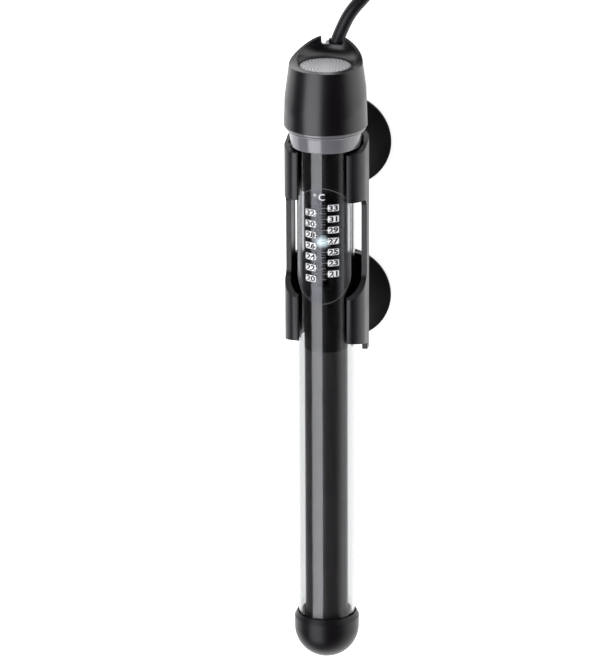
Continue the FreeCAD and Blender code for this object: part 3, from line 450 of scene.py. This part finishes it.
def smoothing_nodes():
    """Geometry nodes that weld a node's loose triangles and shade it smooth up to an angle."""
    group = bpy.data.node_groups.new("weld and smooth", "GeometryNodeTree")
    face = group.interface
    face.new_socket("Geometry", in_out="INPUT", socket_type="NodeSocketGeometry")
    face.new_socket("Geometry", in_out="OUTPUT", socket_type="NodeSocketGeometry")
    nodes, links = group.nodes, group.links
    given, made = nodes.new("NodeGroupInput"), nodes.new("NodeGroupOutput")
    plain = nodes.new("GeometryNodeRemoveAttribute")
    plain.inputs["Name"].default_value = "custom_normal"
    weld = nodes.new("GeometryNodeMergeByDistance")
    weld.inputs["Distance"].default_value = 1e-6
    angle = nodes.new("GeometryNodeInputMeshEdgeAngle")
    sharp = nodes.new("FunctionNodeCompare")
    sharp.data_type = "FLOAT"
    sharp.operation = "GREATER_THAN"
    sharp.inputs[1].default_value = SHARP_ANGLE
    soft_faces = nodes.new("GeometryNodeSetShadeSmooth")
    soft_faces.domain = "FACE"
    sharp_edges = nodes.new("GeometryNodeSetShadeSmooth")
    sharp_edges.domain = "EDGE"
    sharp_edges.inputs["Shade Smooth"].default_value = False
    links.new(given.outputs[0], plain.inputs["Geometry"])
    links.new(plain.outputs["Geometry"], weld.inputs["Geometry"])
    links.new(weld.outputs["Geometry"], soft_faces.inputs["Geometry"])
    links.new(soft_faces.outputs[0], sharp_edges.inputs["Geometry"])
    links.new(angle.outputs["Unsigned Angle"], sharp.inputs[0])
    links.new(sharp.outputs["Result"], sharp_edges.inputs["Selection"])
    links.new(sharp_edges.outputs[0], made.inputs[0])
    return group


SMOOTHING = smoothing_nodes()


def dress(node, material):
    """Gives a CAD node its material and smooth shading."""
    piece = NODES[node]
    piece.data.materials.clear()
    piece.data.materials.append(material)
    smooth = piece.modifiers.new("smooth", "NODES")
    smooth.node_group = SMOOTHING


for node_name, node_material in NODE_MATERIALS.items():
    dress(node_name, node_material)


def added(piece, material, body, replaces=()):
    """A modelled piece with its material, body and the nodes it stands for."""
    piece.data.materials.clear()
    piece.data.materials.append(material)
    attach(piece, body)
    if replaces:
        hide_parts(*replaces)
    return piece


# ------------------------------------------------------------------ cord
CORD_R = 3.1
LAYERS = 4               # pairs of runs, one pair on the other
FOLD_R = 18.6            # half loops at both ends of the hank
RUN = 101.0              # distance between their centres
NEAR = 310.0             # y of the nearer centre
WAIST = 3.3              # half the distance between the bundles at the tie
# Half a run: how far along it, in half runs, and how far from the middle.
HALF_RUN = [(0.0, FOLD_R), (0.24, 15.6), (0.46, 9.0), (0.68, WAIST + 0.5), (1.0, WAIST)]
LEAD_POINTS = [
    (1.15, 148.475, 24.6), (4.5, 157.3, 24.6), (8.6, 164.4, 23.0), (14.6, 170.8, 19.7),
    (20.0, 179.6, 14.0), (23.0, 190.6, 7.7), (23.9, 204.0, 3.7),
    (23.4, 218.0, 3.1), (22.4, 235.0, 3.1), (21.6, 254.0, 3.1), (20.2, 273.0, 3.1),
    (18.7, 292.0, 3.1)]
TAIL_POINTS = [
    (-18.1, 299.0, 21.2), (-14.6, 287.5, 17.4), (-8.6, 276.0, 10.6), (-4.8, 262.0, 6.85),
    (-4.8, 251.0, 6.85)]


def hank_points():
    """Control points of the hank: four right and four left runs with seven half loops.

    A run goes from a loop's side in to the waist and out again; the loops are half circles
    of radius FOLD_R, and each pair of runs is one cord diameter above the pair below."""
    points = []
    layer = 2 * CORD_R
    run = HALF_RUN + [(2.0 - t, x) for t, x in reversed(HALF_RUN[:-1])]
    for k in range(2 * LAYERS):
        side = 1 if k % 2 == 0 else -1          # out on the right, back on the left
        z = CORD_R + layer * (k // 2)
        start, end = (NEAR, NEAR + RUN) if side > 0 else (NEAR + RUN, NEAR)
        points += [(side * x, start + side * RUN / 2 * t, z) for t, x in run]
        if k == 2 * LAYERS - 1:
            break
        rise = 0.0 if side > 0 else layer
        for a in np.radians(np.arange(22.5, 180, 22.5)):
            points.append((side * FOLD_R * np.cos(a), end + side * FOLD_R * np.sin(a),
                           z + rise * (0.5 - 0.5 * np.cos(a))))
    return points


def cord_curve():
    """One NURBS spline along lead, hank and tail."""
    points = LEAD_POINTS + hank_points() + TAIL_POINTS
    curve = bpy.data.curves.new("mains_cord", "CURVE")
    curve.dimensions = "3D"
    spline = curve.splines.new("NURBS")
    spline.points.add(len(points) - 1)
    spline.points.foreach_set("co", [c for x, y, z in points for c in (x * MM, y * MM, z * MM, 1)])
    spline.order_u = 3
    spline.use_endpoint_u = True
    spline.resolution_u = 6
    spline.use_smooth = True
    curve.bevel_depth = CORD_R * MM
    curve.bevel_resolution = 5
    curve.use_fill_caps = True
    piece = bpy.data.objects.new("mains_cord", curve)
    bpy.context.scene.collection.objects.link(piece)
    return piece


mains_cord = added(cord_curve(), CORD_RUBBER, "heater",
                   ("cord_lead", "cord_hank", "cord_tail"))


# ------------------------------------------------------------------ scale
TUBE_TURN = np.radians(3.2)      # the tube is turned this far in the head
FILM_R = 13.70                   # radius of the printed boxes and lines
FIGURE_R = 13.74                 # and of the figures on them


def on_glass(flat, radius):
    """Wraps flat points (x across as seen from the scale's own front, z along) on the tube.

    a = asin(x / radius) + turn; point = (radius sin a, z, radius cos a)."""
    x, z = flat[..., 0], flat[..., 1]
    a = np.arcsin(np.clip(x / radius, -0.99, 0.99)) + TUBE_TURN
    return np.stack([radius * np.sin(a) * MM, HEAD_Y + z * MM, AXIS_Z + radius * np.cos(a) * MM], -1)


def mark(x, z, width, height):
    """Thin printed patch with rounded corners, as a grid that follows the tube.

    The half width at v = -1..1 is (width - 2c) / 2 + c sqrt(1 - e^2), where e is how far v
    reaches into the corner zone and c the corner radius."""
    c = 0.13 * height
    u = np.linspace(-1, 1, 9)[:, None]
    v = np.array([-1, -0.97, -0.9, -0.75, -0.5, 0, 0.5, 0.75, 0.9, 0.97, 1.0])[None, :]
    e = np.clip((np.abs(v) * height / 2 - (height / 2 - c)) / c, 0, 1)
    half = width / 2 - c + c * np.sqrt(1 - e ** 2)
    flat = np.stack([x + u * half, z + v * height / 2 + 0 * u], -1)
    return grid_mesh("mark", on_glass(flat, FILM_R))


def slot_line(half, top, end, width):
    """Thin line round the film's edge: two half circles joined by straight sides."""
    a = np.linspace(0, np.pi, 40)
    x = np.concatenate([np.cos(a), -np.cos(a)])
    y = np.concatenate([np.sin(a), -np.sin(a)])
    middle = np.concatenate([np.full(40, top - half), np.full(40, end + half)])
    rim = np.stack([np.stack([x * r, middle + y * r], -1) for r in (half, half - width)])
    return grid_mesh("film_edge", on_glass(rim, FILM_R), closed_v=True)


def joined(name, pieces):
    """Several meshes as one."""
    verts, faces, base = [], [], 0
    for piece in pieces:
        mesh = piece.data
        co = np.empty(len(mesh.vertices) * 3)
        mesh.vertices.foreach_get("co", co)
        verts.append(co.reshape(-1, 3))
        faces += [[i + base for i in p.vertices] for p in mesh.polygons]
        base += len(mesh.vertices)
        bpy.data.objects.remove(piece)
    mesh = bpy.data.meshes.new(name)
    mesh.from_pydata(np.concatenate(verts).tolist(), [], faces)
    mesh.update()
    whole = bpy.data.objects.new(name, mesh)
    bpy.context.scene.collection.objects.link(whole)
    return whole


def lettering(text, x, z, height, radius=FIGURE_R, bold=0.0, wide=1.0):
    """Characters as a mesh wrapped on the tube."""
    curve = bpy.data.curves.new("letters", "FONT")
    curve.body = text
    curve.size = 1.0
    curve.offset = bold
    curve.align_x = "CENTER"
    curve.align_y = "CENTER"
    curve.resolution_u = 3
    source = bpy.data.objects.new("letters", curve)
    bpy.context.scene.collection.objects.link(source)
    mesh = bpy.data.meshes.new_from_object(source)
    bpy.data.objects.remove(source)
    co = np.empty(len(mesh.vertices) * 3)
    mesh.vertices.foreach_get("co", co)
    co = co.reshape(-1, 3)
    low, high = co.min(0), co.max(0)
    share = height / (high[1] - low[1])
    flat = (co - (low + high) / 2)[:, :2] * [share * wide, share] + [x, z]
    mesh.vertices.foreach_set("co", on_glass(flat, radius).ravel())
    piece = bpy.data.objects.new("letters", mesh)
    bpy.context.scene.collection.objects.link(piece)
    return piece


WARMEST, COLDEST = 33, 20        # in degrees Celsius
WARMEST_Z = -36.7                # place of the warmest box
DEGREE = 34.9 / 13               # distance from one degree to the next
COLUMN_X = 5.35                  # middle of a column of boxes
BOX_W, BOX_H = 4.9, 3.1
LADDER_X = 0.7                   # middle of the ladder of ticks
FILM_TOP, FILM_END, FILM_HALF = -27.15, -83.85, 12.55


def degree_z(degree):
    """Place of a temperature along the tube."""
    return WARMEST_Z - DEGREE * (WARMEST - degree)


def scale_print():
    """White boxes with dark figures left and right of a ladder of ticks, one per degree."""
    white, dark, grey = [], [], []
    for degree in range(COLDEST, WARMEST + 1):
        side = 1 if degree % 2 else -1
        z = degree_z(degree)
        white.append(mark(side * COLUMN_X, z, BOX_W, BOX_H))
        dark.append(lettering(str(degree), side * COLUMN_X, z, 2.7, bold=0.035, wide=1.24))
        white.append(mark(side * (COLUMN_X - BOX_W / 2 - 0.2), z, 0.8, 0.34))
        grey.append(mark(LADDER_X, z, 2.3, 0.28))
        grey.append(mark(LADDER_X, z + DEGREE / 2, 1.5, 0.14))
    white.append(lettering("°", -3.1, -30.6, 1.25, FILM_R))
    white.append(lettering("C", 0.0, -31.4, 3.1, FILM_R, wide=1.05))
    grey.append(slot_line(FILM_HALF, FILM_TOP, FILM_END, 0.16))
    added(joined("scale_white_print", white), PRINT_WHITE, "heater")
    added(joined("scale_dark_print", dark), PRINT_DARK, "heater")
    added(joined("scale_grey_print", grey), PRINT_GREY, "heater")


scale_print()


# ------------------------------------------------------------------ glass, collar and light
def arc(centre_z, radius, start, end, steps=20):
    """Points (r, z) of an arc about a point on the axis; 0 degrees is outwards, -90 down."""
    a = np.radians(np.linspace(start, end, steps))
    return [(radius * np.cos(t), centre_z + radius * np.sin(t)) for t in a]


def glass_profile():
    """Outline of the tube's wall: outside from the round end up, over the lip, inside down.

    Both round ends are quarter circles, r = R cos a and z = end + R sin a."""
    end = (glass_low.y - HEAD_Y) / MM + GLASS_R
    lip = rounded([(GLASS_R, 0.0), (GLASS_R, GLASS_TOP), (BORE_R, GLASS_TOP), (BORE_R, 0.0)], 0.5)
    points = arc(end, GLASS_R, -90, 0) + [tuple(p) for p in lip] + arc(end, BORE_R, 0, -90)
    return np.array(points)


def collar_profile():
    """Outline of the grey ring with rounded lips; the spigot stands inside the head."""
    corners = [(13.65, -9.5), (13.95, -9.7), (16.3, -9.7), (16.9, -2.75), (17.9, -2.55),
               (18.0, -1.75), (17.0, -1.5), (18.9, -1.3), (19.0, -0.15), (16.15, -0.15),
               (16.15, 11.0), (15.0, 11.0), (15.0, -0.15), (13.65, -0.15), (13.65, -9.5)]
    return rounded(corners, 0.38, 6)


added(turned_profile("glass", glass_profile(), 192), GLASS, "heater", ("glass_tube",))
added(turned_profile("collar", collar_profile(), 160), COLLAR_PLASTIC, "heater",
      ("collar_ring",))

GLOW_R = 3.6             # reach of the lamp's glow
GLOW_WIDE = 1.35         # it is this much wider than high
GLOW_DROP = 1.1          # its middle lies this far below the lamp
WINDOW_R = 11.6          # and this far from the tube's axis


def halo():
    """Soft glow of the lit lamp on its window, brightest in the middle."""
    a = np.linspace(0, 2 * np.pi, 48, endpoint=False)
    r = np.array([0.02, GLOW_R / 3, GLOW_R * 2 / 3, GLOW_R])[:, None]
    middle_z = LAMP_Z - GLOW_DROP
    flat = np.stack([GLOW_WIDE * r * np.sin(a), middle_z + r * np.cos(a)], -1)
    piece = grid_mesh("lamp_glow", on_glass(flat, WINDOW_R), closed_v=True)
    material, tree, out = bare_material("lamp glow")
    squeeze = new_node(tree, "VectorMath", operation="MULTIPLY")
    squeeze.inputs[1].default_value = (1 / GLOW_WIDE, 1.0, 1.0)
    tree.links.new(object_place(tree), squeeze.inputs[0])
    x, y, z = on_glass(np.array([0.0, middle_z]), WINDOW_R)
    from_middle = new_node(tree, "VectorMath", operation="DISTANCE")
    from_middle.inputs[1].default_value = (x / GLOW_WIDE, y, z)
    tree.links.new(squeeze.outputs[0], from_middle.inputs[0])
    fade = spread(tree, from_middle.outputs["Value"], (0.0, GLOW_R * MM), (0.95, 0.0), "SMOOTHSTEP")
    feed(tree, out, Surface=mixed(tree, fade, new_node(tree, "BsdfTransparent").outputs[0],
                                  emission(tree, (0.84, 0.98, 1.0), strength=1.5)))
    added(piece, material, "pointer")


halo()


# ------------------------------------------------------------------ floor, lamps and camera
FLOOR_GLOW = 0.75


def floor_material():
    """White floor: plain white to the camera with its shadow kept.

    Reflections see less of its left side, so that the object's left edges stay dark. Rays
    through the glass see even white, and grey where its wall bends them far aside."""
    material, tree, out = bare_material("white floor")
    paper = new_node(tree, "BsdfDiffuse")
    feed(tree, paper, Color=(0.85, 0.85, 0.85, 1))
    seen = new_node(tree, "LightPath").outputs
    x = components(tree, object_place(tree))["X"]
    reflected = calc(tree, "MULTIPLY", seen["Is Glossy Ray"],
                     spread(tree, x, (-0.25, 0.0), (0.2, 1.0)))
    shown = calc(tree, "MAXIMUM", seen["Is Camera Ray"], reflected)
    both = new_node(tree, "AddShader")
    tree.links.new(paper.outputs[0], both.inputs[0])
    tree.links.new(emission(tree, strength=calc(tree, "MULTIPLY", shown, FLOOR_GLOW)),
                   both.inputs[1])
    aside = spread(tree, calc(tree, "ABSOLUTE", x), (0.04, 0.16), (0.98, 0.20))
    feed(tree, out, Surface=mixed(tree, seen["Is Transmission Ray"], both.outputs[0],
                                  emission(tree, strength=aside)))
    return material


def chosen(tree, factor, first, second):
    """The first number where the factor is 0, the second where it is 1."""
    mix = new_node(tree, "Mix")
    feed(tree, mix, Factor=factor, A=first, B=second)
    return mix.outputs["Result"]


def studio_world():
    """Plain fill for surfaces; in reflections dark overhead and white towards the horizon,
    dimmer on the left and brighter beyond the head."""
    world = bpy.data.worlds.new("studio")
    bpy.context.scene.world = world
    world.use_nodes = True
    tree = world.node_tree
    tree.nodes.clear()
    way = components(tree, new_node(tree, "TexCoord").outputs["Generated"])
    height = spread(tree, way["Z"], (-0.05, 0.55), (1.1, 0.006), "SMOOTHSTEP")
    side = spread(tree, way["X"], (-1.0, 1.0), (0.12, 1.5))
    ahead = spread(tree, way["Y"], (0.0, 1.0), (1.0, 2.4))
    mirrored = calc(tree, "MULTIPLY", calc(tree, "MULTIPLY", height, side), ahead)
    seen = new_node(tree, "LightPath").outputs
    lighting = chosen(tree, seen["Is Glossy Ray"], 0.55, mirrored)
    sky = new_node(tree, "Background")
    feed(tree, sky, Strength=chosen(tree, seen["Is Camera Ray"], lighting, 1.3))
    feed(tree, new_node(tree, "OutputWorld"), Surface=sky.outputs[0])


def soft_box(name, centre, aim, width, length, level):
    """Area lamp of a given radiance that faces a point; its long side runs along Y."""
    lamp = bpy.data.lights.new(name, "AREA")
    lamp.shape = "RECTANGLE"
    lamp.size = width
    lamp.size_y = length
    lamp.energy = level * np.pi * width * length
    lamp.color = (0.95, 0.96, 1.0)
    box = bpy.data.objects.new(name, lamp)
    bpy.context.scene.collection.objects.link(box)
    back = (centre - aim).normalized()
    along = Vector((0, 1, 0))
    side = along.cross(back).normalized()
    along = back.cross(side)
    turn = Matrix((side, along, back)).transposed()
    box.matrix_world = Matrix.Translation(centre) @ turn.to_4x4()


def studio():
    """Floor, surroundings and one long soft box, up on the left."""
    corners = np.array([[[-4, -4, 0], [-4, 4, 0]], [[4, -4, 0], [4, 4, 0]]], float)
    floor = grid_mesh("floor", corners, smooth=False)
    floor.data.materials.append(floor_material())
    studio_world()
    angle = np.radians(27.0)
    distance = 1.3
    aim = Vector((0, -0.45, AXIS_Z))
    centre = aim + distance * Vector((-np.sin(angle), 0, np.cos(angle)))
    soft_box("strip light", centre, aim, width=1.08, length=2.4, level=2.95)


def camera():
    """Camera with its place, direction and roll in the heater's own frame."""
    lens = bpy.data.cameras.new("camera")
    lens.sensor_fit = "AUTO"
    lens.sensor_width = 36.0
    lens.lens = 245.3
    lens.clip_start, lens.clip_end = 0.05, 20.0
    eye = bpy.data.objects.new("camera", lens)
    bpy.context.scene.collection.objects.link(eye)
    bpy.context.scene.camera = eye
    place = Vector((0.4014, HEAD_Y + 0.6245, AXIS_Z + 1.9644))
    yaw, pitch, roll = np.radians([11.90, 19.94, -0.27])
    forward = Vector((-np.sin(yaw) * np.cos(pitch), -np.sin(pitch), -np.cos(yaw) * np.cos(pitch)))
    level = Vector((np.cos(yaw), 0, -np.sin(yaw)))
    upright = level.cross(forward)
    right = level * np.cos(roll) + upright * np.sin(roll)
    up = upright * np.cos(roll) - level * np.sin(roll)
    turn = Matrix((right, up, -forward)).transposed()
    eye.matrix_world = Matrix.Translation(place) @ turn.to_4x4()


studio()
camera()

scene = bpy.context.scene
scene.view_settings.view_transform = "Standard"
